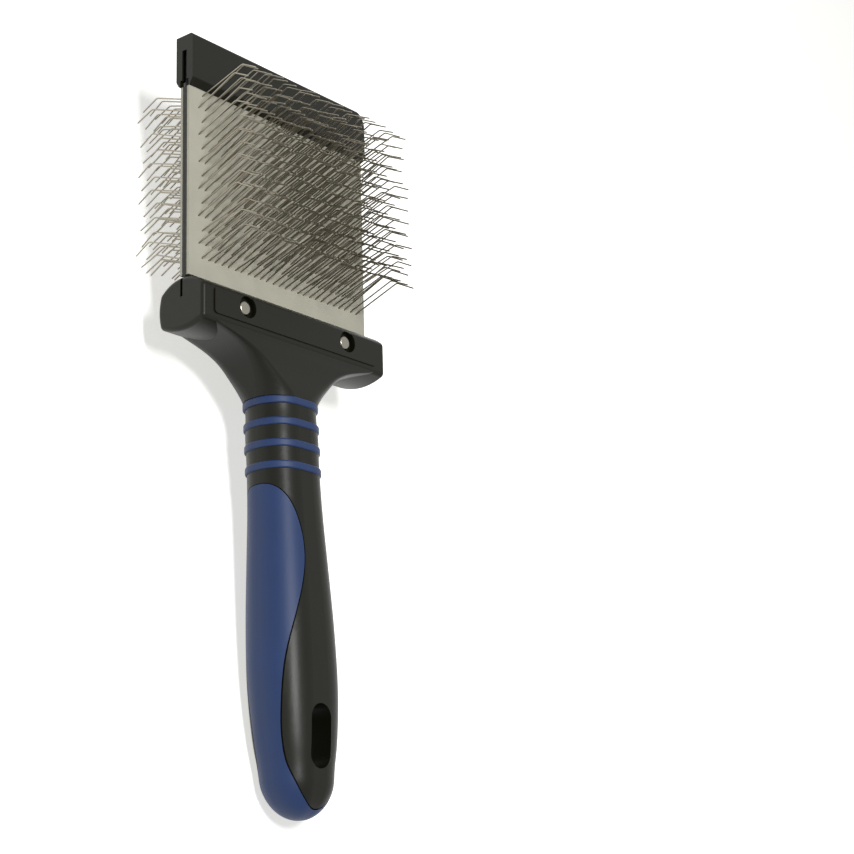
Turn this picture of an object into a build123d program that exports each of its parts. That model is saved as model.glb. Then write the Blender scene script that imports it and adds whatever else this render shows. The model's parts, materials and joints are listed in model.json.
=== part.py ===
"""Double-sided flexible slicker brush for coat care.

The brush is drawn flat: X runs across the head, Y from the handle towards the head and Z out of the
front face. Y = 0 is the mouth of the T bar and Z = 0 the middle of the flexible leaf. At the end every
piece is laid down as the brush lies on a table, on the tail of the grip and the first rows of back pins,
with the origin on the table under the middle of the brush. Sizes are in millimetres.
"""

import os
from math import atan2, degrees, radians, sqrt, tan

from build123d import *

os.makedirs("parts", exist_ok=True)

# ---- Driving dimensions ----------------------------------------------------------------------------

plate_width = 82.0  # width of the pinned plate
plate_height = 64.6  # from the T bar's mouth to the lower lip of the edge cap
leaf_thickness = 0.8  # springy plastic leaf in the middle of the plate
cloth_thickness = 0.6  # woven backing of each pin foundation
rubber_thickness = 0.9  # pale rubber face of each pin foundation
foundation_gap = 0.8  # from the T bar's crown to the lower edge of the foundations
fit_gap = 0.1  # clearance of a sliding fit, each side

pin_wire = 0.46  # diameter of the steel pin wire
pin_columns = 26  # pins in a row, two to a staple
pin_rows = 13
pin_pitch = 2.88  # across the head
row_pitch = 4.6  # along the head
first_row = 6.8  # height of the lowest row's roots above the mouth
root_rise = 17.5  # how far the lower leg of a pin stands out of the rubber
root_tilt = 19.0  # lean of the lower leg towards the cap
tip_rise = 6.3  # how much further the hooked tip stands out
tip_tilt = 27.0  # lean of the hooked tip back towards the handle

bar_width = 84.4  # T bar of the handle
bar_depth = 19.2
bar_face_top = -4.0  # where the crowned top meets the front and back faces
bar_face_bottom = -15.0
bar_belly = -17.2  # lowest line of the rounded underside
bar_edge = 1.8
bar_back_bulge = 0.9  # how far the rounded back stands out of the back edges
bar_back_edge = 2.8
leaf_pocket_width = 77.0  # deep middle part of the slot that holds the leaf
leaf_pocket_depth = 13.6
leaf_slot_depth = 6.6  # shallow part of the slot, open at both ends of the bar
band_width = 75.0  # raised flat band around the rivets
band_height = 8.4
band_middle = -8.7
band_corner = 1.2
band_proud = 0.4

rivet_spacing = 46.4
rivet_line = -7.6  # height of the rivets below the mouth
rivet_head = 4.9
rivet_head_height = 1.2
rivet_shank = 3.0
rivet_seat_depth = 2.2  # counterbore, measured from the band's face
rivet_seat = 7.2
rolled_end = 4.5
rolled_end_height = 1.0
washer_outer = 6.2
washer_thickness = 0.7

cap_width = 82.6
cap_height = 17.8
cap_depth = 7.4
cap_lip = 2.3  # height of the tapered lips
cap_corner = 5.5  # rounded outer corner at the closed end
cap_edge = 0.9
cap_shoulder = 1.2  # rounding where a lip meets the cap's face
cap_lip_cover = 0.4  # thickness of a lip's thin edge
cap_end_wall = 1.6
cap_channel_depth = 12.6
cap_recess = 1.2  # how far the plate stops short of the cap's open end

grip_lean = 2.5  # degrees that the handle leans towards the front
lean_start = -3.0
neck_top = -34.0
neck_bottom = -57.0
neck_half_width = 11.8
neck_half_depth = 9.9
tail_dome_start = -149.0
tail_end = -163.3
heel = -135.0  # where the back of the grip meets the table
heel_half_depth = 11.2
tail_half_width = 11.9
tail_half_depth = 9.8
roundness = 0.93  # corner radius of a grip section, as a share of its half depth

ring_count = 4
ring_first = -33.9
ring_pitch = 7.1
ring_height = 2.5
ring_proud = 0.5
ring_bite = 0.9
ring_edge = 0.6

skin = 1.8  # thickness of the soft grip
groove = 0.35  # open line between the soft grip and the core
grip_top = -60.4
tongue_end = -160.2  # where the black strip ends above the tail

hang_slot_width = 8.6
hang_slot_length = 19.4
hang_slot_middle = -139.0

# ---- Values that follow from them --------------------------------------------------------------------

half_leaf = leaf_thickness / 2
half_core = half_leaf + cloth_thickness  # leaf and both cloths, as deep as the edge cap's channel takes
half_stack = half_core + rubber_thickness
band_face = bar_depth / 2 + band_proud
seat_face = band_face - rivet_seat_depth
cap_top = plate_height + cap_height
core_inside = cap_channel_depth - fit_gap
plate_inside_cap = cap_width / 2 - cap_end_wall - fit_gap
far = 200.0  # a length that passes right through any piece


def lean(y):
    """Front offset of the handle's axis at height y."""
    return (lean_start - y) * tan(radians(grip_lean))


def across(y):
    """Plane square to the handle's length, centred on its leaning axis, drawn X by Z."""
    return Plane(origin=(0, y, lean(y)), x_dir=(1, 0, 0), z_dir=(0, -1, 0))


def handle_sections(inset=0.0):
    """Rounded sections of the shoulder and grip, from the T bar to the tail: y, half width, half depth, corner."""
    shoulder = [
        (-13.0, 40.0, 8.8, 1.6),
        (-15.4, 36.0, 8.9, 1.8),
        (-17.2, 29.5, 9.0, 2.2),
        (-19.2, 24.0, 9.1, 2.8),
        (-22.0, 19.6, 9.2, 3.8),
        (-25.5, 16.4, 9.4, 5.2),
        (-29.5, 13.6, 9.7, 7.4),
    ]
    neck_levels = [neck_top + (neck_bottom - neck_top) * i / 3 for i in range(4)]
    grip = [(y, neck_half_width, neck_half_depth) for y in neck_levels]
    grip += [
        (-65.0, 11.95, 10.1),
        (-73.0, 12.3, 10.35),
        (-81.0, 12.75, 10.7),
        (-89.0, 13.2, 11.05),
        (-97.0, 13.65, 11.35),
        (-105.0, 14.0, 11.6),
        (-113.0, 14.25, 11.7),
        (-121.0, 14.35, 11.7),
        (-129.0, 14.1, 11.5),
        (-136.0, 13.6, 11.1),
        (-143.0, 12.8, 10.5),
    ]
    dome_length = tail_dome_start - tail_end - inset
    for along in (0.0, 0.3, 0.55, 0.75, 0.89, 0.97, 0.995):
        share = sqrt(1 - along**2)
        half_width = inset + (tail_half_width - inset) * share
        half_depth = inset + (tail_half_depth - inset) * share
        grip.append((tail_dome_start - dome_length * along, half_width, half_depth))
    rounded = [(y, a, b, roundness * (b - inset) + inset) for y, a, b in grip]
    return [(y, a - inset, b - inset, r - inset) for y, a, b, r in shoulder + rounded if r > inset]


def handle_form(inset=0.0):
    """Solid through the handle's sections, or that much inside them."""
    with BuildPart() as form:
        for y, half_width, half_depth, corner in handle_sections(inset):
            with BuildSketch(across(y)):
                RectangleRounded(2 * half_width, 2 * half_depth, corner)
        loft()
    return form.part


def grip_area(gap=0.0):
    """Everything below the neck outside the black strip between the grip's broad and slim lobes, less a gap."""
    broad_lobe = [
        (neck_half_width + 1.5, grip_top + 0.4),
        (neck_half_width - 2.4, grip_top - 2.6),
        (5.6, -69.8),
        (3.3, -82.5),
        (7.0, -99.5),
        (11.2, -116.0),
        (12.1, -130.0),
        (9.7, -149.0),
        (5.4, -156.8),
    ]
    slim_lobe = [
        (neck_half_width + 1.5, grip_top + 0.4),
        (neck_half_width - 1.0, grip_top - 3.0),
        (10.0, -70.5),
        (9.9, -82.5),
        (10.8, -99.5),
        (12.0, -116.0),
        (12.4, -130.0),
        (10.6, -147.0),
        (7.8, -155.4),
    ]
    right = [(x + gap, y) for x, y in slim_lobe]
    left = [(-x - gap, y) for x, y in reversed(broad_lobe)]
    with BuildSketch(Plane.XY) as tongue:
        with BuildLine():
            Spline(*right, (1.2, tongue_end - gap), *left)
            Polyline(left[-1], (left[-1][0], 0), (right[0][0], 0), right[0])
        make_face()
    with BuildSketch(Plane.XY) as area:
        with Locations((0, (grip_top - gap - far) / 2)):
            Rectangle(far, far + grip_top - gap)
        add(tongue.sketch, mode=Mode.SUBTRACT)
    return area.sketch


def ring_slab(extra):
    """Band round the neck for each ring, standing out of the neck by extra and cut off at the ring's bite."""
    slabs = []
    for level in ring_levels:
        with BuildPart() as slab:
            with BuildSketch(across(level + ring_height / 2)):
                corner = roundness * neck_half_depth + extra
                RectangleRounded(2 * (neck_half_width + extra), 2 * (neck_half_depth + extra), corner)
            extrude(amount=ring_height)
            if extra == ring_proud:
                fillet(slab.faces().filter_by(Axis.Y).edges(), radius=ring_edge)
            add(ring_form, mode=Mode.SUBTRACT)
        slabs.append(slab.part)
    return slabs


outer_form = handle_form()
skin_form = handle_form(skin)
ring_form = handle_form(ring_bite)
ring_levels = [ring_first - i * ring_pitch for i in range(ring_count)]
neck_rings = ring_slab(ring_proud)

# ---- Handle ------------------------------------------------------------------------------------------

with BuildPart() as grip_pocket:
    add(grip_area())
    extrude(amount=far, both=True)
    add(skin_form, mode=Mode.SUBTRACT)

with BuildPart() as handle_core:
    with BuildSketch(Plane.YZ) as bar_profile:
        with BuildLine():
            half = bar_depth / 2
            ThreePointArc((bar_face_top, -half), (0, 0), (bar_face_top, half))
            Line((bar_face_top, half), (bar_face_bottom, half))
            ThreePointArc((bar_face_bottom, half), (bar_belly, 0), (bar_face_bottom, -half))
            back_middle = (bar_face_top + bar_face_bottom) / 2
            ThreePointArc((bar_face_bottom, -half), (back_middle, -half - bar_back_bulge), (bar_face_top, -half))
        make_face()
        fillet(bar_profile.vertices().group_by(Axis.Z)[-1], radius=bar_edge)
        fillet(bar_profile.vertices().group_by(Axis.Z)[0], radius=bar_back_edge)
    extrude(amount=bar_width / 2, both=True)
    bar_ends = handle_core.faces().filter_by(Axis.X)
    fillet(bar_ends.edges(), radius=bar_edge * 0.8)
    add(outer_form)
    with BuildSketch(Plane.XY) as band:
        with Locations((0, band_middle)):
            RectangleRounded(band_width, band_height, band_corner)
    extrude(amount=band_face)
    # slot for the leaf: shallow to both ends, deep in the middle
    with BuildSketch(Plane.XY) as leaf_slot:
        with Locations((0, -leaf_slot_depth / 2)):
            Rectangle(bar_width + 1, leaf_slot_depth)
        with Locations((0, -leaf_pocket_depth / 2)):
            Rectangle(leaf_pocket_width, leaf_pocket_depth)
    extrude(amount=half_leaf + fit_gap, both=True, mode=Mode.SUBTRACT)
    # rivet holes with a round seat in the band and in the back
    with BuildSketch(Plane.XY) as rivet_holes:
        with Locations((0, rivet_line)):
            with GridLocations(rivet_spacing, 0, 2, 1):
                Circle(rivet_shank / 2 + fit_gap)
    extrude(amount=far, both=True, mode=Mode.SUBTRACT)
    for side in (1, -1):
        with BuildSketch(Plane.XY.offset(side * seat_face)):
            with Locations((0, rivet_line)):
                with GridLocations(rivet_spacing, 0, 2, 1):
                    Circle(rivet_seat / 2)
        extrude(amount=side * far, mode=Mode.SUBTRACT)
    # hanging slot through the tail
    with BuildSketch(Plane.XY):
        with Locations((0, hang_slot_middle)):
            SlotOverall(hang_slot_length, hang_slot_width, rotation=90)
    extrude(amount=far, both=True, mode=Mode.SUBTRACT)
    # pocket of the soft grip and the grooves of the neck rings
    add(grip_pocket.part, mode=Mode.SUBTRACT)
    for slab in ring_slab(2 * ring_proud):
        add(slab, mode=Mode.SUBTRACT)

with BuildPart() as grip_overmould:
    add(grip_area(groove))
    extrude(amount=far, both=True)
    add(outer_form, mode=Mode.INTERSECT)
    add(skin_form, mode=Mode.SUBTRACT)

# ---- Rivets ------------------------------------------------------------------------------------------


def rivet(x):
    """Domed head in front, shank through the bar and leaf, and an end rolled over the washer behind."""
    with BuildPart() as body:
        with BuildSketch(Plane.XY.offset(seat_face)):
            with Locations((x, rivet_line)):
                Circle(rivet_head / 2)
        extrude(amount=rivet_head_height)
        fillet(body.faces().sort_by(Axis.Z)[-1].edges(), radius=rivet_head_height * 0.7)
        with BuildSketch(Plane.XY.offset(seat_face)):
            with Locations((x, rivet_line)):
                Circle(rivet_shank / 2)
        extrude(amount=-(2 * seat_face + washer_thickness))
        with BuildSketch(Plane.XY.offset(-seat_face - washer_thickness)):
            with Locations((x, rivet_line)):
                Circle(rolled_end / 2)
        extrude(amount=-rolled_end_height)
        fillet(body.faces().sort_by(Axis.Z)[0].edges(), radius=rolled_end_height * 0.6)
    return body.part


def rivet_washer(x):
    """Flat washer under the rolled end of a rivet."""
    with BuildPart() as washer:
        with BuildSketch(Plane.XY.offset(-seat_face)):
            with Locations((x, rivet_line)):
                Circle(washer_outer / 2)
                Circle(rivet_shank / 2 + fit_gap / 2, mode=Mode.SUBTRACT)
        extrude(amount=-washer_thickness)
    return washer.part


# ---- Flexible head -----------------------------------------------------------------------------------


def stack_layer(low, thickness, bottom, inside):
    """One layer of the plate: full width below the edge cap, and set back from both its ends inside it."""
    with BuildPart() as layer:
        with BuildSketch(Plane.XY.offset(low)):
            with Locations((0, (plate_height + bottom) / 2)):
                Rectangle(plate_width, plate_height - bottom)
            open_end = plate_width / 2 - cap_recess
            with Locations(((plate_inside_cap - open_end) / 2, plate_height + inside / 2)):
                Rectangle(plate_inside_cap + open_end, inside)
        extrude(amount=thickness)
    return layer.part


with BuildPart() as core_leaf:
    add(stack_layer(-half_leaf, leaf_thickness, 0.0, core_inside))
    with BuildSketch(Plane.XY.offset(-half_leaf)):
        with Locations((0, -(leaf_slot_depth - fit_gap) / 2)):
            Rectangle(plate_width, leaf_slot_depth - fit_gap)
        with Locations((0, -(leaf_pocket_depth - fit_gap) / 2)):
            Rectangle(leaf_pocket_width - 2 * fit_gap, leaf_pocket_depth - fit_gap)
        with Locations((0, rivet_line)):
            with GridLocations(rivet_spacing, 0, 2, 1):
                Circle(rivet_shank / 2 + fit_gap, mode=Mode.SUBTRACT)
    extrude(amount=leaf_thickness)

front_cloth = stack_layer(half_leaf, cloth_thickness, foundation_gap, core_inside)
front_rubber = stack_layer(half_core, rubber_thickness, foundation_gap, cap_lip - fit_gap)

with BuildPart() as edge_cap:
    half = cap_depth / 2
    lip = half_stack + cap_lip_cover
    with BuildSketch(Plane.YZ.offset(-cap_width / 2)) as cap_profile:
        with BuildLine():
            Polyline(
                (plate_height, -lip),
                (plate_height + cap_lip, -half),
                (cap_top, -half),
                (cap_top, half),
                (plate_height + cap_lip, half),
                (plate_height, lip),
                close=True,
            )
        make_face()
        fillet(cap_profile.vertices().group_by(Axis.Y)[-1], radius=cap_edge)
        fillet(cap_profile.vertices().group_by(Axis.Y)[1], radius=cap_shoulder)
    extrude(amount=cap_width)
    with BuildSketch(Plane.XY) as cap_outline:
        with Locations((0, plate_height + cap_height / 2)):
            Rectangle(cap_width, cap_height)
        fillet(cap_outline.vertices().sort_by(Axis.X)[-2:].sort_by(Axis.Y)[-1], radius=cap_corner)
    extrude(amount=far, both=True, mode=Mode.INTERSECT)
    # channel for the leaf and cloths, wider between the lips for the rubber
    for depth, half_gap in ((cap_channel_depth, half_core), (cap_lip, half_stack)):
        with BuildSketch(Plane.XY):
            with Locations((-cap_end_wall / 2, plate_height + depth / 2)):
                Rectangle(cap_width - cap_end_wall, depth)
        extrude(amount=half_gap, both=True, mode=Mode.SUBTRACT)


def pin_row():
    """One row of hooked pins on the front, standing on a wire inside the backing cloth."""
    half_wire = pin_wire / 2
    root = half_leaf + half_wire
    knee = half_stack + root_rise
    knee_shift = (knee - root) * tan(radians(root_tilt))
    tip_shift = knee_shift - tip_rise * tan(radians(tip_tilt))
    columns = [(i - (pin_columns - 1) / 2) * pin_pitch - half_wire for i in range(pin_columns)]
    with BuildPart() as row:
        with BuildSketch(*[Plane.YZ.offset(x) for x in columns]):
            with BuildLine():
                Polyline(
                    (-half_wire, root),
                    (half_wire, root),
                    (knee_shift + half_wire, knee),
                    (tip_shift + half_wire, knee + tip_rise),
                    (tip_shift - half_wire, knee + tip_rise),
                    (knee_shift - half_wire, knee),
                    close=True,
                )
            make_face()
        extrude(amount=pin_wire)
        with BuildSketch(Plane.YZ.offset(columns[0])):
            with Locations((0, root)):
                Rectangle(pin_wire, pin_wire)
        extrude(amount=columns[-1] - columns[0] + pin_wire)
    return row.part


def front_rows():
    """Rows of pins up the plate, each a quarter pitch aside of the middle, left and right in turn."""
    row = pin_row()
    places = [(pin_pitch / 4 * (-1) ** i, first_row + i * row_pitch, 0) for i in range(pin_rows)]
    return Compound([row.moved(Location(place)) for place in places])


# ---- Laying the brush down and writing the pieces ----------------------------------------------------

tip_drop = half_stack + root_rise + tip_rise
tip_reach = first_row + (root_rise + rubber_thickness) * tan(radians(root_tilt)) - tip_rise * tan(radians(tip_tilt))
heel_drop = heel_half_depth - lean(heel)
lying_tilt = degrees(atan2(tip_drop - heel_drop, tip_reach - heel))

front_pins = front_rows()
pieces = {
    "handle_core": handle_core.part,
    "grip_overmould": grip_overmould.part,
    "rivet_left": rivet(-rivet_spacing / 2),
    "rivet_right": rivet(rivet_spacing / 2),
    "rivet_washer_left": rivet_washer(-rivet_spacing / 2),
    "rivet_washer_right": rivet_washer(rivet_spacing / 2),
    "core_leaf": core_leaf.part,
    "front_cloth": front_cloth,
    "front_rubber": front_rubber,
    "front_pins": front_pins,
    "back_cloth": mirror(front_cloth, about=Plane.XY),
    "back_rubber": mirror(front_rubber, about=Plane.XY),
    "back_pins": mirror(front_pins, about=Plane.XY),
    "edge_cap": edge_cap.part,
}
for number, ring in enumerate(neck_rings, start=1):
    pieces[f"neck_ring_{number}"] = ring

tilted = {name: piece.moved(Location((0, 0, 0), (lying_tilt, 0, 0))) for name, piece in pieces.items()}
boxes = [piece.bounding_box() for piece in tilted.values()]
low = min(box.min.Z for box in boxes)
middle = (min(box.min.Y for box in boxes) + max(box.max.Y for box in boxes)) / 2
for name, piece in tilted.items():
    placed = piece.moved(Location((0, -middle, -low)))
    placed.label = name
    export_step(placed, f"parts/{name}.step")
print("laid down by", round(lying_tilt, 3), "degrees, moved", round(-middle, 3), round(-low, 3))
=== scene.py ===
"""Looks of a double-sided slicker brush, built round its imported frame.

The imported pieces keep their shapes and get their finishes. Two kinds of piece are made again here: the
pins, as round hooked wires, and the leaf, cut finely enough to bend where the head meets the handle.
"""

import json
from math import atan2, pi, radians

import bmesh
import bpy
from mathutils import Matrix, Vector


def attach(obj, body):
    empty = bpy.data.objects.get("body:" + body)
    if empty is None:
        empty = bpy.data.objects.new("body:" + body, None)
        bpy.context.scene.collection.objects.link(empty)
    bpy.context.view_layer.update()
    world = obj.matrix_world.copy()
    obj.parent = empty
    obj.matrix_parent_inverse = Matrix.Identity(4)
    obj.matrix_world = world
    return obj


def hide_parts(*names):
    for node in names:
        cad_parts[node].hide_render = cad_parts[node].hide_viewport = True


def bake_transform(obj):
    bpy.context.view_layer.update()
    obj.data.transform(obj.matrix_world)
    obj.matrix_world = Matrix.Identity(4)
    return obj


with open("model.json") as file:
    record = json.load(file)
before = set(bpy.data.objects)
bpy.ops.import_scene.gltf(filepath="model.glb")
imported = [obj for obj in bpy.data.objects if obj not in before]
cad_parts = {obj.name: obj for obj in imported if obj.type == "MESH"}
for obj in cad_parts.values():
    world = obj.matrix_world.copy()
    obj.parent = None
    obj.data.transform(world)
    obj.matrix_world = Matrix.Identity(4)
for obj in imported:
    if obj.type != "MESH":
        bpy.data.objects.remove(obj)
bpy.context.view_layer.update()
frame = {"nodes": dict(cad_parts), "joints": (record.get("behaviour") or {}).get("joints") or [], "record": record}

bl_info = {
    "name": "Slicker Brush",
    "version": (1, 0, 0),
    "blender": (4, 5, 0),
    "location": "3D View > Sidebar > Brush",
    "description": "Finishes the handle and head of a slicker brush and sets its hooked pins",
    "category": "Object",
}

MM = 0.001

# The brush is drawn flat and then laid down: Y runs up the head from the mouth of the T bar, Z out of
# the front face. The hanging slot's axis shows how far it was tilted.
MOUTH = Vector(frame["joints"][0]["pos_m"])
SLOT_AXIS = Vector(frame["record"]["mounts"][0]["axis"])
LYING_TILT = atan2(-SLOT_AXIS.y, SLOT_AXIS.z)
UP_HEAD = Matrix.Rotation(LYING_TILT, 3, "X") @ Vector((0, 1, 0))

# How many times a wave texture of scale 1 repeats in a metre.
WAVES_AT_SCALE_ONE = 20 / (2 * pi)

# What the pins' tree is given: whole numbers, and sizes, angles and shares. Each but Turned Over is a
# setting of the same name.
WHOLE_INPUTS = ("Columns", "Rows", "Seed")
MEASURED_INPUTS = (
    "Column Pitch", "Row Pitch", "First Row", "Root", "Knee", "Tip", "Leg Lean", "Tip Lean", "Wire", "Bend",
    "Lean Scatter", "Twist Scatter", "Fan", "Shortest", "Tallest", "Handle Rise", "Turned Over",
)


def linear(hex_colour):
    """Linear RGBA of an sRGB hex colour."""
    shares = [int(hex_colour[i : i + 2], 16) / 255 for i in (1, 3, 5)]
    return [s / 12.92 if s <= 0.04045 else ((s + 0.055) / 1.055) ** 2.4 for s in shares] + [1.0]


def add_node(tree, kind, links=None, **settings):
    """New node with its settings; links name its inputs, each a value or another node's socket."""
    node = tree.nodes.new(kind)
    for name, value in settings.items():
        setattr(node, name, value)
    for name, value in (links or {}).items():
        if isinstance(value, bpy.types.NodeSocket):
            tree.links.new(value, node.inputs[name])
        else:
            node.inputs[name].default_value = value
    return node


# ---- Settings ------------------------------------------------------------------------------------------


def length(name, description, millimetres):
    """A size setting with its default in millimetres."""
    return bpy.props.FloatProperty(
        name=name, description=description, default=millimetres * MM, unit="LENGTH", precision=5
    )


def angle(name, description, degrees):
    """An angle setting with its default in degrees."""
    return bpy.props.FloatProperty(
        name=name, description=description, default=radians(degrees), subtype="ANGLE"
    )


def colour(name, description, hex_colour):
    """A colour setting with its default as sRGB hex."""
    return bpy.props.FloatVectorProperty(
        name=name, description=description, default=linear(hex_colour), size=4, subtype="COLOR"
    )


def share(name, description, default):
    """A setting that is a share of something else."""
    return bpy.props.FloatProperty(name=name, description=description, default=default, subtype="FACTOR")


def metres(name, description, place):
    """A place setting in metres."""
    return bpy.props.FloatVectorProperty(
        name=name, description=description, default=place, subtype="TRANSLATION", precision=4
    )


def direction(name, description, heading):
    """A direction setting."""
    return bpy.props.FloatVectorProperty(
        name=name, description=description, default=heading, subtype="DIRECTION", precision=4
    )


def watts(name, description, power):
    """A lamp's power setting."""
    return bpy.props.FloatProperty(name=name, description=description, default=power, unit="POWER")


class PinSettings(bpy.types.PropertyGroup):
    """Sizes and scatter of the hooked pins."""

    columns: bpy.props.IntProperty(name="Columns", description="Pins in one row", default=26)
    rows: bpy.props.IntProperty(name="Rows", description="Rows of pins on a face", default=13)
    column_pitch: length("Column pitch", "Distance between pins across the head", 2.88)
    row_pitch: length("Row pitch", "Distance between rows along the head", 4.6)
    first_row: length("First row", "Height of the lowest row above the mouth", 6.8)
    root: length("Root", "Height of the pin's foot above the middle of the leaf", 0.8)
    knee: length("Knee", "Height of the bend above the middle of the leaf", 19.4)
    tip: length("Tip", "Height of the point above the middle of the leaf", 25.7)
    leg_lean: angle("Leg lean", "Lean of the lower leg towards the cap", 19)
    tip_lean: angle("Tip lean", "Lean of the hook back towards the handle", 27)
    wire: length("Wire", "Diameter of the pin wire", 0.48)
    bend: length("Bend", "How wide the bend is rounded", 0.8)
    lean_scatter: angle("Lean scatter", "Most that a pin leans out of line", 2.2)
    twist_scatter: angle("Twist scatter", "Most that a hook turns out of line", 11)
    fan: angle("Fan", "Outward lean of the pins at the head's two sides", 2)
    shortest: share("Shortest", "Least height of a pin, as a share of the drawn one", 0.945)
    tallest: share("Tallest", "Greatest height of a pin, as a share of the drawn one", 0.985)
    handle_rise: share("Handle rise", "How much taller the front pins stand by the handle", 0.08)
    seed: bpy.props.IntProperty(name="Seed", description="Seed of the pins' scatter", default=7)


class FinishSettings(bpy.types.PropertyGroup):
    """Colours of the brush's pieces."""

    core: colour("Core", "Black moulded handle and edge cap", "#0f0f07")
    grip: colour("Grip", "Blue soft grip and rings", "#20345c")
    pad: colour("Pad", "Pale rubber face of the pin foundations", "#aaa899")
    cloth: colour("Cloth", "Woven backing of the pin foundations", "#1d1b17")
    leaf: colour("Leaf", "Springy leaf in the middle of the head", "#1b1a18")
    wire: colour("Wire", "Steel pin wire", "#989285")
    rivet: colour("Rivet", "Plated rivets and washers", "#8f8b80")


class StageSettings(bpy.types.PropertyGroup):
    """Camera, lamps, surroundings and floor."""

    camera_place: metres("Camera place", "Where the camera stands", (-0.4375, -0.2340, 0.4047))
    camera_aim: direction("Camera aim", "Direction the camera looks in", (0.7455, 0.3646, -0.5580))
    camera_right: direction(
        "Camera right", "Direction of the picture's right side", (0.6357, -0.1372, 0.7596)
    )
    lens: bpy.props.FloatProperty(
        name="Lens", description="Focal length in millimetres", default=83.28, unit="CAMERA"
    )
    lamp_aim: metres("Lamp aim", "Where both lamps point", (0, 0, 0.02))
    key_place: metres("Key place", "Where the lamp over the brush hangs", (-0.34, -0.02, 0.88))
    key_width: length("Key width", "Width of the lamp over the brush", 150)
    key_length: length("Key length", "Length of the lamp over the brush, along the handle", 340)
    key_power: watts("Key power", "Power of the lamp over the brush", 8.0)
    fill_place: metres("Fill place", "Where the lamp on the camera's side hangs", (-0.8, -0.5, 0.52))
    fill_side: length("Fill side", "Side of the square lamp on the camera's side", 800)
    fill_power: watts("Fill power", "Power of the lamp on the camera's side", 0.4)
    surroundings: bpy.props.FloatProperty(
        name="Surroundings", description="How strongly the white surroundings light the brush", default=0.14
    )
    floor_lift: bpy.props.FloatProperty(
        name="Floor lift", description="How much lighter the floor looks than it is lit", default=0.7
    )
    floor: colour("Floor", "Pale floor", "#f4f4f1")


# ---- Finishes ------------------------------------------------------------------------------------------


def new_material(name, base, roughness, metallic=0.0, ior=None, gloss=0.5):
    """Material with one principled shader; returns it with its tree, shader and object coordinates."""
    material = bpy.data.materials.new(name)
    material.use_nodes = True
    tree = material.node_tree
    shader = tree.nodes["Principled BSDF"]
    shader.inputs["Base Color"].default_value = base
    shader.inputs["Roughness"].default_value = roughness
    shader.inputs["Metallic"].default_value = metallic
    shader.inputs["Specular IOR Level"].default_value = gloss
    if ior:
        shader.inputs["IOR"].default_value = ior
    place = add_node(tree, "ShaderNodeTexCoord").outputs["Object"]
    return material, tree, shader, place


def vary_colour(tree, shader, factor, low, high):
    """Base colour that runs from low to high with a factor."""
    ramp = add_node(tree, "ShaderNodeMix", {"Factor": factor}, data_type="RGBA")
    ramp.inputs["A"].default_value = low
    ramp.inputs["B"].default_value = high
    tree.links.new(ramp.outputs["Result"], shader.inputs["Base Color"])


def vary_roughness(tree, shader, factor, low, high):
    """Roughness that runs from low to high with a factor."""
    ramp = add_node(tree, "ShaderNodeMapRange", {"Value": factor, "To Min": low, "To Max": high})
    tree.links.new(ramp.outputs["Result"], shader.inputs["Roughness"])


def raise_grain(tree, shader, height, depth, strength=1.0):
    """Bump of a real depth from a height field."""
    bump = add_node(tree, "ShaderNodeBump", {"Height": height, "Distance": depth, "Strength": strength})
    tree.links.new(bump.outputs["Normal"], shader.inputs["Normal"])


def shade(base, factor):
    """Colour made that much lighter or darker."""
    return [channel * factor for channel in base[:3]] + [1.0]


def moulded_polypropylene(base):
    """Black polypropylene from a lightly sparked mould: a soft broad sheen with a fine even grain."""
    material, tree, shader, place = new_material("moulded_polypropylene", base, 0.36, ior=1.49, gloss=0.22)
    grain_width = 0.45 * MM
    grain = add_node(
        tree, "ShaderNodeTexNoise", {"Vector": place, "Scale": 1 / grain_width, "Detail": 2.0}
    ).outputs["Fac"]
    flow_width = 28 * MM  # marks left where the plastic cooled
    flow = add_node(
        tree, "ShaderNodeTexNoise", {"Vector": place, "Scale": 1 / flow_width, "Detail": 2.0}
    ).outputs["Fac"]
    vary_colour(tree, shader, flow, shade(base, 0.75), shade(base, 1.35))
    vary_roughness(tree, shader, flow, 0.34, 0.42)
    raise_grain(tree, shader, grain, depth=0.03 * MM, strength=0.5)
    return material


def soft_grip_rubber(base):
    """Blue thermoplastic rubber: satin, a little cloudy, with a fine matt grain."""
    material, tree, shader, place = new_material("soft_grip_rubber", base, 0.5, ior=1.5, gloss=0.3)
    grain_width = 0.35 * MM
    grain = add_node(
        tree, "ShaderNodeTexNoise", {"Vector": place, "Scale": 1 / grain_width, "Detail": 2.0}
    ).outputs["Fac"]
    cloud_width = 18 * MM
    cloud = add_node(
        tree, "ShaderNodeTexNoise", {"Vector": place, "Scale": 1 / cloud_width, "Detail": 3.0}
    ).outputs["Fac"]
    vary_colour(tree, shader, cloud, shade(base, 0.86), shade(base, 1.14))
    vary_roughness(tree, shader, cloud, 0.42, 0.56)
    raise_grain(tree, shader, grain, depth=0.03 * MM, strength=0.6)
    return material


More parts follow.
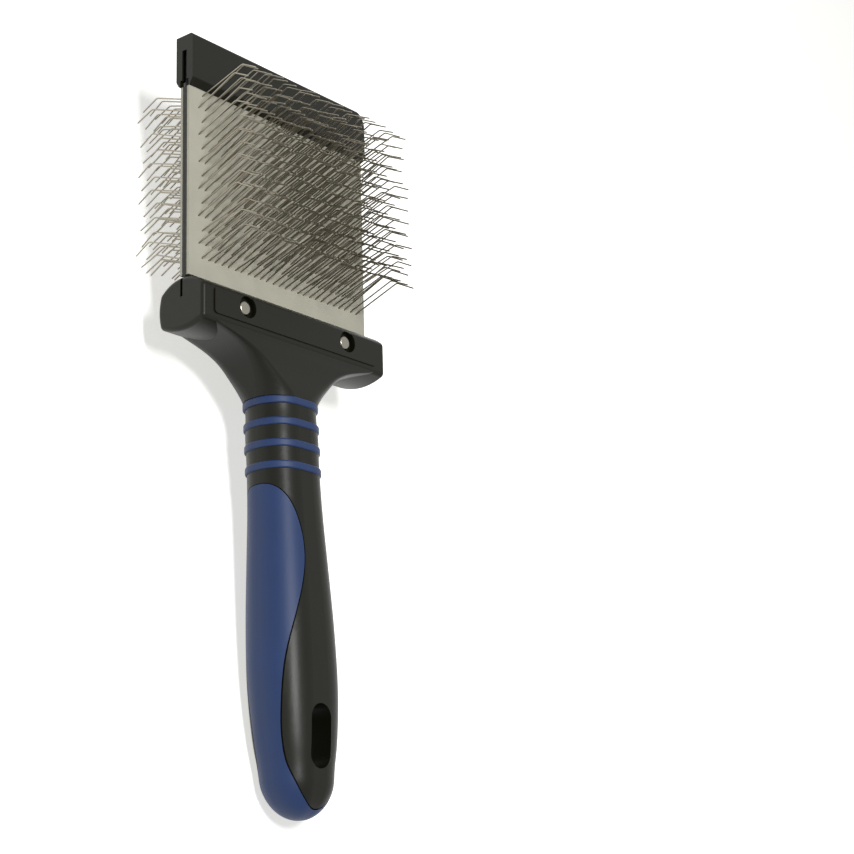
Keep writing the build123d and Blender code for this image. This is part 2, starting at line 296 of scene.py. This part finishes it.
def calendered_rubber(base):
    """Pale natural rubber rolled on to cloth: chalky and matt, with the cloth showing faintly through."""
    material, tree, shader, place = new_material("calendered_rubber", base, 0.72, ior=1.52)
    thread_spacing = 0.8 * MM  # coarser than the real cloth, so that it shows
    laid = add_node(
        tree, "ShaderNodeMapping", {"Vector": place, "Rotation": (-LYING_TILT, 0, 0)}
    ).outputs["Vector"]
    ribs = add_node(
        tree, "ShaderNodeTexWave",
        {"Vector": laid, "Scale": 1 / thread_spacing / WAVES_AT_SCALE_ONE, "Distortion": 0.6},
        bands_direction="Y",
    ).outputs["Fac"]
    chalk_width = 9 * MM
    chalk = add_node(
        tree, "ShaderNodeTexNoise", {"Vector": place, "Scale": 1 / chalk_width, "Detail": 4.0}
    ).outputs["Fac"]
    vary_colour(tree, shader, chalk, shade(base, 0.86), shade(base, 1.08))
    raise_grain(tree, shader, ribs, depth=0.02 * MM, strength=0.4)
    return material


def woven_cloth(base):
    """Cotton and polyester backing cloth: dull, with the crossing threads showing at its cut edge."""
    material, tree, shader, place = new_material("woven_backing_cloth", base, 0.9)
    shader.inputs["Sheen Weight"].default_value = 0.2
    thread_spacing = 0.6 * MM
    threads = {"Vector": place, "Scale": 1 / thread_spacing / WAVES_AT_SCALE_ONE}
    warp = add_node(tree, "ShaderNodeTexWave", threads, bands_direction="X").outputs["Fac"]
    weft = add_node(tree, "ShaderNodeTexWave", threads, bands_direction="Y").outputs["Fac"]
    weave = add_node(tree, "ShaderNodeMath", {0: warp, 1: weft}, operation="MULTIPLY").outputs["Value"]
    vary_colour(tree, shader, weave, shade(base, 0.6), shade(base, 1.5))
    raise_grain(tree, shader, weave, depth=0.08 * MM)
    return material


def drawn_wire(base):
    """Hard drawn steel wire: bright, with faint dull patches from the drawing oil."""
    material, tree, shader, place = new_material("drawn_steel_wire", base, 0.3, metallic=1.0)
    patch_width = 3 * MM
    patches = add_node(
        tree, "ShaderNodeTexNoise", {"Vector": place, "Scale": 1 / patch_width, "Detail": 2.0}
    ).outputs["Fac"]
    vary_colour(tree, shader, patches, shade(base, 0.7), shade(base, 1.12))
    vary_roughness(tree, shader, patches, 0.22, 0.42)
    return material


def plated_steel(base):
    """Nickel plated steel: a clean bright metal with fine turning marks."""
    material, tree, shader, place = new_material("nickel_plated_steel", base, 0.24, metallic=1.0)
    mark_width = 0.4 * MM
    marks = add_node(
        tree, "ShaderNodeTexNoise", {"Vector": place, "Scale": 1 / mark_width, "Detail": 3.0}
    ).outputs["Fac"]
    vary_roughness(tree, shader, marks, 0.16, 0.36)
    raise_grain(tree, shader, marks, depth=0.01 * MM, strength=0.5)
    return material


def finish_nodes(material, *names):
    """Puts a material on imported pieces."""
    for name in names:
        piece = frame["nodes"][name]
        piece.data.materials.clear()
        piece.data.materials.append(material)


# ---- Pins ----------------------------------------------------------------------------------------------


def pin_tree(material):
    """Geometry Nodes tree that sets hooked wires on a staggered grid and lays them down with the brush."""
    tree = bpy.data.node_groups.new("hooked_pins", "GeometryNodeTree")
    for name in WHOLE_INPUTS:
        tree.interface.new_socket(name, in_out="INPUT", socket_type="NodeSocketInt")
    for name in MEASURED_INPUTS:
        tree.interface.new_socket(name, in_out="INPUT", socket_type="NodeSocketFloat")
    tree.interface.new_socket("Geometry", in_out="OUTPUT", socket_type="NodeSocketGeometry")
    given = tree.nodes.new("NodeGroupInput").outputs

    def maths(operation, first, second=0.0, third=None):
        links = {0: first, 1: second}
        if third is not None:
            links[2] = third
        return add_node(tree, "ShaderNodeMath", links, operation=operation).outputs["Value"]

    def vector(**parts):
        return add_node(tree, "ShaderNodeCombineXYZ", parts).outputs["Vector"]

    def own_place():
        position = add_node(tree, "GeometryNodeInputPosition").outputs["Position"]
        return add_node(tree, "ShaderNodeSeparateXYZ", {"Vector": position}).outputs

    # one wire: its foot, its point, and the stations between them close together round the knee
    stations = 9
    station_step = 0.38  # as a share of the bend's width
    station = add_node(tree, "GeometryNodeInputIndex").outputs["Index"]
    step = maths("MULTIPLY", given["Bend"], station_step)
    from_knee = maths("MULTIPLY", maths("SUBTRACT", station, (stations - 1) / 2), step)
    near_knee = maths("ADD", given["Knee"], from_knee)
    at_root = add_node(
        tree, "FunctionNodeCompare", {"A": station, "B": 0}, data_type="INT", operation="EQUAL"
    ).outputs["Result"]
    at_tip = add_node(
        tree, "FunctionNodeCompare", {"A": station, "B": stations - 1}, data_type="INT", operation="EQUAL"
    ).outputs["Result"]
    raised = add_node(
        tree, "GeometryNodeSwitch", {"Switch": at_root, "False": near_knee, "True": given["Root"]},
        input_type="FLOAT",
    ).outputs["Output"]
    raised = add_node(
        tree, "GeometryNodeSwitch", {"Switch": at_tip, "False": raised, "True": given["Tip"]},
        input_type="FLOAT",
    ).outputs["Output"]
    leg = maths("MULTIPLY", raised, maths("TANGENT", given["Leg Lean"]))
    knee_out = maths("MULTIPLY", given["Knee"], maths("TANGENT", given["Leg Lean"]))
    past_knee = maths("SUBTRACT", raised, given["Knee"])
    hook = maths("SUBTRACT", knee_out, maths("MULTIPLY", past_knee, maths("TANGENT", given["Tip Lean"])))
    forward = maths("SMOOTH_MIN", leg, hook, given["Bend"])
    path = add_node(tree, "GeometryNodeMeshLine", {"Count": stations}).outputs["Mesh"]
    bent = add_node(
        tree, "GeometryNodeSetPosition",
        {"Geometry": path, "Position": vector(Y=forward, Z=raised)},
    ).outputs["Geometry"]
    line = add_node(tree, "GeometryNodeMeshToCurve", {"Mesh": bent}).outputs["Curve"]
    section = add_node(
        tree, "GeometryNodeCurvePrimitiveCircle",
        {"Resolution": 6, "Radius": maths("DIVIDE", given["Wire"], 2.0)},
    ).outputs["Curve"]
    wire = add_node(
        tree, "GeometryNodeCurveToMesh", {"Curve": line, "Profile Curve": section, "Fill Caps": True}
    ).outputs["Mesh"]
    wire = add_node(tree, "GeometryNodeSetShadeSmooth", {"Geometry": wire}).outputs["Geometry"]

    # places on a grid, with every other row moved half a pitch
    across_width = maths("MULTIPLY", maths("SUBTRACT", given["Columns"], 1.0), given["Column Pitch"])
    up_height = maths("MULTIPLY", maths("SUBTRACT", given["Rows"], 1.0), given["Row Pitch"])
    half_height = maths("DIVIDE", up_height, 2.0)
    grid = add_node(
        tree, "GeometryNodeMeshGrid",
        {
            "Size X": across_width,
            "Size Y": up_height,
            "Vertices X": given["Columns"],
            "Vertices Y": given["Rows"],
        },
    ).outputs["Mesh"]
    above_lowest = maths("ADD", own_place()["Y"], half_height)
    row_number = maths("ROUND", maths("DIVIDE", above_lowest, given["Row Pitch"]))
    odd = maths("MODULO", row_number, 2.0)
    pitches_aside = maths("SUBTRACT", 0.25, maths("MULTIPLY", odd, 0.5))
    stagger = maths("MULTIPLY", pitches_aside, given["Column Pitch"])
    facing = maths("SUBTRACT", 1.0, maths("MULTIPLY", given["Turned Over"], 2.0))
    shift = vector(X=maths("MULTIPLY", stagger, facing), Y=maths("ADD", given["First Row"], half_height))
    places = add_node(
        tree, "GeometryNodeSetPosition", {"Geometry": grid, "Offset": shift}
    ).outputs["Geometry"]

    # each pin a little out of line and a little short
    lean_side = maths("MULTIPLY", given["Lean Scatter"], -1.0)
    twist_side = maths("MULTIPLY", given["Twist Scatter"], -1.0)
    leans = add_node(
        tree, "FunctionNodeRandomValue",
        {
            "Min": vector(X=lean_side, Y=lean_side, Z=twist_side),
            "Max": vector(X=given["Lean Scatter"], Y=given["Lean Scatter"], Z=given["Twist Scatter"]),
            "Seed": given["Seed"],
        },
        data_type="FLOAT_VECTOR",
    ).outputs["Value"]
    scattered = add_node(
        tree, "FunctionNodeRandomValue",
        # the sockets for one number, after the two for a vector
        {2: given["Shortest"], 3: given["Tallest"], "Seed": maths("ADD", given["Seed"], 1.0)},
        data_type="FLOAT",
    ).outputs[1]
    # taller towards the handle and fanned out to the sides, from where each pin stands
    stands = own_place()
    up_share = maths("DIVIDE", maths("SUBTRACT", stands["Y"], given["First Row"]), up_height)
    from_top = maths("SUBTRACT", 1.0, up_share)
    rise = maths("ADD", 1.0, maths("MULTIPLY", from_top, given["Handle Rise"]))
    heights = maths("MULTIPLY", scattered, rise)
    side_share = maths("DIVIDE", stands["X"], maths("DIVIDE", across_width, 2.0))
    fan = maths("MULTIPLY", given["Fan"], side_share)
    leans = add_node(
        tree, "ShaderNodeVectorMath", {0: leans, 1: vector(Y=fan)}, operation="ADD"
    ).outputs["Vector"]
    pins = add_node(
        tree, "GeometryNodeInstanceOnPoints",
        {
            "Points": places,
            "Instance": wire,
            "Rotation": leans,
            "Scale": vector(X=1.0, Y=heights, Z=heights),
        },
    ).outputs["Instances"]
    pins = add_node(tree, "GeometryNodeRealizeInstances", {"Geometry": pins}).outputs["Geometry"]
    turned = add_node(
        tree, "GeometryNodeTransform",
        {"Geometry": pins, "Rotation": vector(Y=maths("MULTIPLY", given["Turned Over"], pi))},
    ).outputs["Geometry"]
    laid = add_node(
        tree, "GeometryNodeTransform",
        {"Geometry": turned, "Rotation": (LYING_TILT, 0, 0), "Translation": MOUTH},
    ).outputs["Geometry"]
    finished = add_node(
        tree, "GeometryNodeSetMaterial", {"Geometry": laid, "Material": material}
    ).outputs["Geometry"]
    add_node(tree, "NodeGroupOutput", {"Geometry": finished})
    return tree


def grown_mesh(name, tree, values):
    """Plain object made from what a tree grows with these inputs."""
    holder = bpy.data.objects.new(name + "_source", bpy.data.meshes.new(name + "_source"))
    bpy.context.scene.collection.objects.link(holder)
    modifier = holder.modifiers.new("grow", "NODES")
    modifier.node_group = tree
    for socket in tree.interface.items_tree:
        if socket.in_out == "INPUT":
            modifier[socket.identifier] = values[socket.name]
    depsgraph = bpy.context.evaluated_depsgraph_get()
    mesh = bpy.data.meshes.new_from_object(holder.evaluated_get(depsgraph), depsgraph=depsgraph)
    mesh.name = name
    bpy.data.objects.remove(holder)
    piece = bpy.data.objects.new(name, mesh)
    bpy.context.scene.collection.objects.link(piece)
    return piece


# ---- Operators -----------------------------------------------------------------------------------------


class BRUSH_OT_pins(bpy.types.Operator):
    """Set the hooked pins on both faces of the head"""

    bl_idname = "brush.pins"
    bl_label = "Set Pins"

    def execute(self, context):
        pins = context.scene.brush_pins
        tree = pin_tree(drawn_wire(context.scene.brush_finish.wire))
        values = {
            name: getattr(pins, name.lower().replace(" ", "_"))
            for name in WHOLE_INPUTS + MEASURED_INPUTS
            if name != "Turned Over"
        }
        # the back face has its own scatter and no rise
        for side, turned_over, rise, seed in (
            ("front", 0.0, pins.handle_rise, pins.seed),
            ("back", 1.0, 0.0, pins.seed + 10),
        ):
            values["Seed"] = seed
            values["Turned Over"] = turned_over
            values["Handle Rise"] = rise
            wires = grown_mesh(f"{side}_wires", tree, values)
            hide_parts(f"{side}_pins")
            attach(wires, "head")
        return {"FINISHED"}


class BRUSH_OT_leaf(bpy.types.Operator):
    """Make the springy leaf, fine enough to bend at the mouth of the T bar"""

    bl_idname = "brush.leaf"
    bl_label = "Make Leaf"

    def execute(self, context):
        bent_height = 0.8 * MM  # the open strip of leaf between the handle and the pin foundations
        cuts = 8
        same_point = 0.001 * MM
        mesh = frame["nodes"]["core_leaf"].data.copy()
        mesh.name = "springy_leaf"
        form = bmesh.new()
        form.from_mesh(mesh)
        bmesh.ops.remove_doubles(form, verts=form.verts, dist=same_point)
        for number in range(cuts + 1):
            level = MOUTH + UP_HEAD * bent_height * number / cuts
            everything = form.verts[:] + form.edges[:] + form.faces[:]
            bmesh.ops.bisect_plane(form, geom=everything, plane_co=level, plane_no=UP_HEAD, dist=same_point)
        form.to_mesh(mesh)
        form.free()
        mesh.materials.clear()
        mesh.materials.append(moulded_polypropylene(context.scene.brush_finish.leaf))
        leaf = bpy.data.objects.new("springy_leaf", mesh)
        context.scene.collection.objects.link(leaf)
        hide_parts("core_leaf")
        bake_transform(leaf)
        return {"FINISHED"}


class BRUSH_OT_handle(bpy.types.Operator):
    """Finish the black core, the soft grip and the neck rings"""

    bl_idname = "brush.handle"
    bl_label = "Finish Handle"

    def execute(self, context):
        finish = context.scene.brush_finish
        finish_nodes(moulded_polypropylene(finish.core), "handle_core", "edge_cap")
        rings = [name for name in frame["nodes"] if name.startswith("neck_ring")]
        finish_nodes(soft_grip_rubber(finish.grip), "grip_overmould", *rings)
        return {"FINISHED"}


class BRUSH_OT_rivets(bpy.types.Operator):
    """Finish the rivets and their washers"""

    bl_idname = "brush.rivets"
    bl_label = "Finish Rivets"

    def execute(self, context):
        rivets = [name for name in frame["nodes"] if name.startswith("rivet")]
        finish_nodes(plated_steel(context.scene.brush_finish.rivet), *rivets)
        return {"FINISHED"}


class BRUSH_OT_foundations(bpy.types.Operator):
    """Finish the rubber and cloth of both pin foundations"""

    bl_idname = "brush.foundations"
    bl_label = "Finish Foundations"

    def execute(self, context):
        finish = context.scene.brush_finish
        finish_nodes(calendered_rubber(finish.pad), "front_rubber", "back_rubber")
        finish_nodes(woven_cloth(finish.cloth), "front_cloth", "back_cloth")
        return {"FINISHED"}


class BRUSH_OT_stage(bpy.types.Operator):
    """Lay the floor and set the lamps and the camera"""

    bl_idname = "brush.stage"
    bl_label = "Set Stage"

    def execute(self, context):
        scene = context.scene
        stage = scene.brush_stage
        scene.view_settings.view_transform = "Standard"
        lay_floor(stage.floor, stage.floor_lift)
        set_world(stage.surroundings)
        aim = Vector(stage.lamp_aim)
        hang_lamp("key", stage.key_place, aim, stage.key_width, stage.key_length, stage.key_power)
        hang_lamp("fill", stage.fill_place, aim, stage.fill_side, stage.fill_side, stage.fill_power)
        camera = bpy.data.objects.new("camera", bpy.data.cameras.new("camera"))
        scene.collection.objects.link(camera)
        scene.camera = camera
        camera.data.lens = stage.lens
        camera.data.clip_start = 0.01
        camera.data.clip_end = 20.0
        camera.matrix_world = placed(stage.camera_place, -Vector(stage.camera_aim), stage.camera_right)
        return {"FINISHED"}


def placed(place, backward, right):
    """Matrix of something at a place that looks away from backward, its right side near a direction."""
    backward = backward.normalized()
    right = Vector(right)
    right = (right - backward * right.dot(backward)).normalized()
    turn = Matrix((right, backward.cross(right), backward)).transposed()
    return Matrix.Translation(place) @ turn.to_4x4()


def lay_floor(base, lift):
    """Pale floor that keeps the brush's shadow and is close to white to the eye."""
    form = bmesh.new()
    reach = 4.0  # metres from the brush to the floor's edges
    bmesh.ops.create_grid(form, x_segments=1, y_segments=1, size=reach)
    mesh = bpy.data.meshes.new("floor")
    form.to_mesh(mesh)
    form.free()
    floor = bpy.data.objects.new("floor", mesh)
    bpy.context.scene.collection.objects.link(floor)
    material = bpy.data.materials.new("white_paper")
    material.use_nodes = True
    tree = material.node_tree
    tree.nodes.clear()
    paper = add_node(tree, "ShaderNodeBsdfDiffuse", {"Color": base}).outputs["BSDF"]
    glow = add_node(tree, "ShaderNodeEmission", {"Color": base, "Strength": lift}).outputs["Emission"]
    lifted = add_node(tree, "ShaderNodeAddShader", {0: paper, 1: glow}).outputs["Shader"]
    seen = add_node(
        tree, "ShaderNodeMixShader", {"Fac": seen_directly(tree), 1: paper, 2: lifted}
    ).outputs["Shader"]
    add_node(tree, "ShaderNodeOutputMaterial", {"Surface": seen})
    mesh.materials.append(material)


def seen_directly(tree):
    """1 for rays from the camera and for those mirrored or passed on by a piece."""
    path = add_node(tree, "ShaderNodeLightPath").outputs
    mirrored = add_node(
        tree, "ShaderNodeMath",
        {0: path["Is Glossy Ray"], 1: path["Is Transmission Ray"]},
        operation="MAXIMUM",
    ).outputs["Value"]
    return add_node(
        tree, "ShaderNodeMath", {0: path["Is Camera Ray"], 1: mirrored}, operation="MAXIMUM"
    ).outputs["Value"]


def set_world(strength):
    """White surroundings that light the brush at a plain level and are seen as plain white."""
    world = bpy.data.worlds.new("studio")
    bpy.context.scene.world = world
    world.use_nodes = True
    tree = world.node_tree
    tree.nodes.clear()
    white = linear("#ffffff")
    lit = add_node(
        tree, "ShaderNodeBackground", {"Color": white, "Strength": strength}
    ).outputs["Background"]
    seen = add_node(tree, "ShaderNodeBackground", {"Color": white, "Strength": 1.0}).outputs["Background"]
    mixed = add_node(
        tree, "ShaderNodeMixShader", {"Fac": seen_directly(tree), 1: lit, 2: seen}
    ).outputs["Shader"]
    add_node(tree, "ShaderNodeOutputWorld", {"Surface": mixed})


def hang_lamp(name, place, aim, width, long_side, power):
    """Soft lamp that points at a place, its long side in line with the brush."""
    lamp = bpy.data.lights.new(name, "AREA")
    lamp.shape = "RECTANGLE"
    lamp.size = width
    lamp.size_y = long_side
    lamp.energy = power
    holder = bpy.data.objects.new(name, lamp)
    bpy.context.scene.collection.objects.link(holder)
    backward = Vector(place) - aim
    holder.matrix_world = placed(place, backward, Vector((0, 1, 0)).cross(backward))


class BRUSH_PT_panel(bpy.types.Panel):
    """Steps that finish the brush"""

    bl_idname = "BRUSH_PT_panel"
    bl_label = "Slicker Brush"
    bl_space_type = "VIEW_3D"
    bl_region_type = "UI"
    bl_category = "Brush"

    def draw(self, context):
        for operator in OPERATORS:
            self.layout.operator(operator.bl_idname)
        for settings in (context.scene.brush_pins, context.scene.brush_finish, context.scene.brush_stage):
            box = self.layout.box()
            for name in settings.__annotations__:
                box.prop(settings, name)


OPERATORS = (
    BRUSH_OT_pins, BRUSH_OT_leaf, BRUSH_OT_handle, BRUSH_OT_rivets, BRUSH_OT_foundations, BRUSH_OT_stage,
)
CLASSES = (PinSettings, FinishSettings, StageSettings, *OPERATORS, BRUSH_PT_panel)


def register():
    """Registers the classes and puts their settings on the scene."""
    for cls in CLASSES:
        bpy.utils.register_class(cls)
    bpy.types.Scene.brush_pins = bpy.props.PointerProperty(type=PinSettings)
    bpy.types.Scene.brush_finish = bpy.props.PointerProperty(type=FinishSettings)
    bpy.types.Scene.brush_stage = bpy.props.PointerProperty(type=StageSettings)


def unregister():
    """Takes the settings and classes away again."""
    del bpy.types.Scene.brush_stage
    del bpy.types.Scene.brush_finish
    del bpy.types.Scene.brush_pins
    for cls in reversed(CLASSES):
        bpy.utils.unregister_class(cls)


def main():
    """Makes every piece and the stage."""
    register()
    bpy.ops.brush.pins()
    bpy.ops.brush.leaf()
    bpy.ops.brush.handle()
    bpy.ops.brush.rivets()
    bpy.ops.brush.foundations()
    bpy.ops.brush.stage()


if __name__ == "__main__":
    main()
